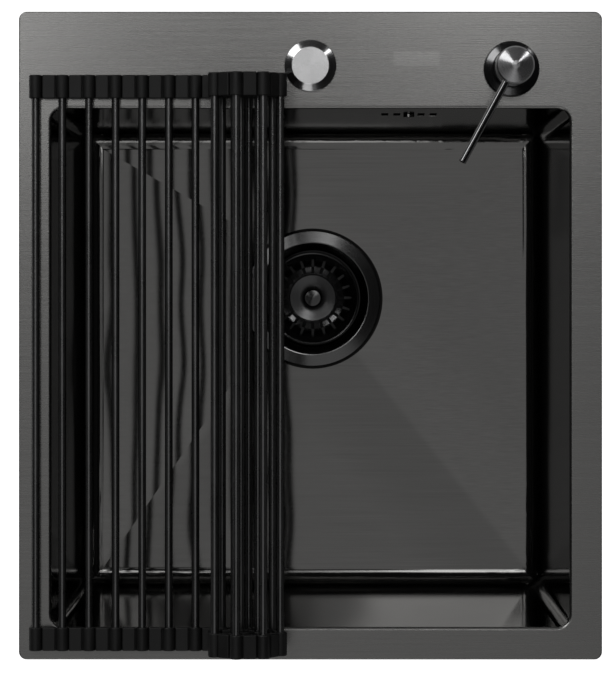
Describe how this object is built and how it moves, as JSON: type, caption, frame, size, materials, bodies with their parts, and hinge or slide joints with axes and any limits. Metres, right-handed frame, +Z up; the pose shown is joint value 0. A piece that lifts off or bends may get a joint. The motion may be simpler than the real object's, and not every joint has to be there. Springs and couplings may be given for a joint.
{
  "type": "kitchen sink",
  "caption": "Inset square-bowl kitchen sink with deck, lift-out basket strainer, overflow, soap pump, tap-hole cover and a part-rolled drying mat across the bowl",
  "frame": {"origin": "middle of the deck rectangle, on the worktop plane under the rim seal", "axes": "+X to the right, +Y to the back of the worktop, +Z up out of the bowl"},
  "size_m": [0.45, 0.5, 0.363],
  "materials": {
    "graphite_sheet": "brushed dark coating",
    "bitumen_pad": "matte",
    "foam_seal": "matte",
    "zinc_steel": "satin",
    "black_rubber": "matte",
    "strainer_steel": "satin dark coating",
    "black_plastic": "satin",
    "polished_cover": "polished edge and satin top",
    "graphite_fitting": "satin dark coating",
    "clear_plastic": "translucent",
    "white_plastic": "satin",
    "black_tube": "satin",
    "silicone": "matte"
  },
  "bodies": {
    "sink": {"sink_deck": "graphite_sheet", "sink_bowl": "graphite_sheet", "sound_pads": "bitumen_pad", "rim_seal": "foam_seal", "rim_clips": "zinc_steel", "clip_screws": "zinc_steel", "flange_gasket": "black_rubber", "strainer_cup": "strainer_steel", "lower_gasket": "black_rubber", "outlet_body": "black_plastic", "clamp_screw": "zinc_steel", "overflow_gasket": "black_rubber", "overflow_housing": "black_plastic", "overflow_screw": "zinc_steel", "overflow_pipe": "black_plastic", "cover_gasket": "black_rubber", "tap_hole_cover": "polished_cover", "cover_stud": "zinc_steel", "cover_washer": "black_plastic", "cover_wing_nut": "zinc_steel", "collar_gasket": "black_rubber", "dispenser_collar": "graphite_fitting", "shank_washer": "black_plastic", "shank_nut": "black_plastic", "soap_bottle": "clear_plastic", "pump_body": "white_plastic", "dip_tube": "clear_plastic", "pump_spring": "zinc_steel"},
    "strainer_basket": {"basket": "strainer_steel", "basket_stopper": "black_rubber", "basket_knob": "strainer_steel"},
    "pump_plunger": {"pump_stem": "white_plastic"},
    "pump_top": {"pump_head": "graphite_fitting", "spout": "graphite_fitting"},
    "mat_flat": {"mat_flat_tubes": "black_tube", "mat_strip_front": "silicone", "mat_strip_back": "silicone"},
    "mat_roll_10": {"mat_tube_10": "black_tube", "mat_link_10": "silicone"},
    "mat_roll_11": {"mat_tube_11": "black_tube", "mat_link_11": "silicone"},
    "mat_roll_12": {"mat_tube_12": "black_tube", "mat_link_12": "silicone"},
    "mat_roll_13": {"mat_tube_13": "black_tube", "mat_link_13": "silicone"},
    "mat_roll_14": {"mat_tube_14": "black_tube", "mat_link_14": "silicone"},
    "mat_roll_15": {"mat_tube_15": "black_tube", "mat_link_15": "silicone"},
    "mat_roll_16": {"mat_tube_16": "black_tube", "mat_link_16": "silicone"},
    "mat_roll_17": {"mat_tube_17": "black_tube", "mat_link_17": "silicone"},
    "mat_roll_18": {"mat_tube_18": "black_tube", "mat_link_18": "silicone"}
  },
  "joints": [
    {"name": "basket_lift", "type": "slide", "parent": "sink", "child": "strainer_basket", "axis": [0, 0, 1], "range_m": [0, 0.07]},
    {"name": "pump_press", "type": "slide", "parent": "sink", "child": "pump_plunger", "axis": [0, 0, -1], "range_m": [0, 0.01], "stiffness_N_per_m": 150, "springref_m": -0.03, "deforming": ["pump_spring"]},
    {"name": "head_swivel", "type": "hinge", "parent": "pump_plunger", "child": "pump_top", "pos_m": [0.155, 0.2056, 0.045], "axis": [0, 0, 1], "continuous": true},
    {"name": "mat_lift", "type": "slide", "parent": "sink", "child": "mat_flat", "axis": [0, 0, 1], "range_m": [0, 0.12]},
    {"name": "mat_unroll_10", "type": "hinge", "parent": "mat_flat", "child": "mat_roll_10", "pos_m": [-0.0475, -0.0208, 0.0103], "axis": [0, 1, 0], "range_deg": [0, 15]},
    {"name": "mat_unroll_11", "type": "hinge", "parent": "mat_roll_10", "child": "mat_roll_11", "pos_m": [-0.02892, -0.0208, 0.01896], "axis": [0, 1, 0], "range_deg": [-0.05, 28.25]},
    {"name": "mat_unroll_12", "type": "hinge", "parent": "mat_roll_11", "child": "mat_roll_12", "pos_m": [-0.02259, -0.0208, 0.03846], "axis": [0, 1, 0], "range_deg": [-0.05, 33.65]},
    {"name": "mat_unroll_13", "type": "hinge", "parent": "mat_roll_12", "child": "mat_roll_13", "pos_m": [-0.03521, -0.0208, 0.05461], "axis": [0, 1, 0], "range_deg": [-0.05, 26.45]},
    {"name": "mat_unroll_14", "type": "hinge", "parent": "mat_roll_13", "child": "mat_roll_14", "pos_m": [-0.05551, -0.0208, 0.05747], "axis": [0, 1, 0], "range_deg": [-0.05, 25.85]},
    {"name": "mat_unroll_15", "type": "hinge", "parent": "mat_roll_14", "child": "mat_roll_15", "pos_m": [-0.0723, -0.0208, 0.04571], "axis": [0, 1, 0], "range_deg": [-0.05, 31.85]},
    {"name": "mat_unroll_16", "type": "hinge", "parent": "mat_roll_15", "child": "mat_roll_16", "pos_m": [-0.07301, -0.0208, 0.02522], "axis": [0, 1, 0], "range_deg": [-0.05, 46.25]},
    {"name": "mat_unroll_17", "type": "hinge", "parent": "mat_roll_16", "child": "mat_roll_17", "pos_m": [-0.05321, -0.0208, 0.01992], "axis": [0, 1, 0], "range_deg": [-0.05, 37.85]},
    {"name": "mat_unroll_18", "type": "hinge", "parent": "mat_roll_17", "child": "mat_roll_18", "pos_m": [-0.0395, -0.0208, 0.03515], "axis": [0, 1, 0], "range_deg": [-0.05, 61.25]}
  ],
  "couplings": [
    {"joint": "mat_unroll_11", "follows": "mat_unroll_10", "ratio": 1.88},
    {"joint": "mat_unroll_12", "follows": "mat_unroll_10", "ratio": 2.24},
    {"joint": "mat_unroll_13", "follows": "mat_unroll_10", "ratio": 1.76},
    {"joint": "mat_unroll_14", "follows": "mat_unroll_10", "ratio": 1.72},
    {"joint": "mat_unroll_15", "follows": "mat_unroll_10", "ratio": 2.12},
    {"joint": "mat_unroll_16", "follows": "mat_unroll_10", "ratio": 3.08},
    {"joint": "mat_unroll_17", "follows": "mat_unroll_10", "ratio": 2.52},
    {"joint": "mat_unroll_18", "follows": "mat_unroll_10", "ratio": 4.08}
  ]
}
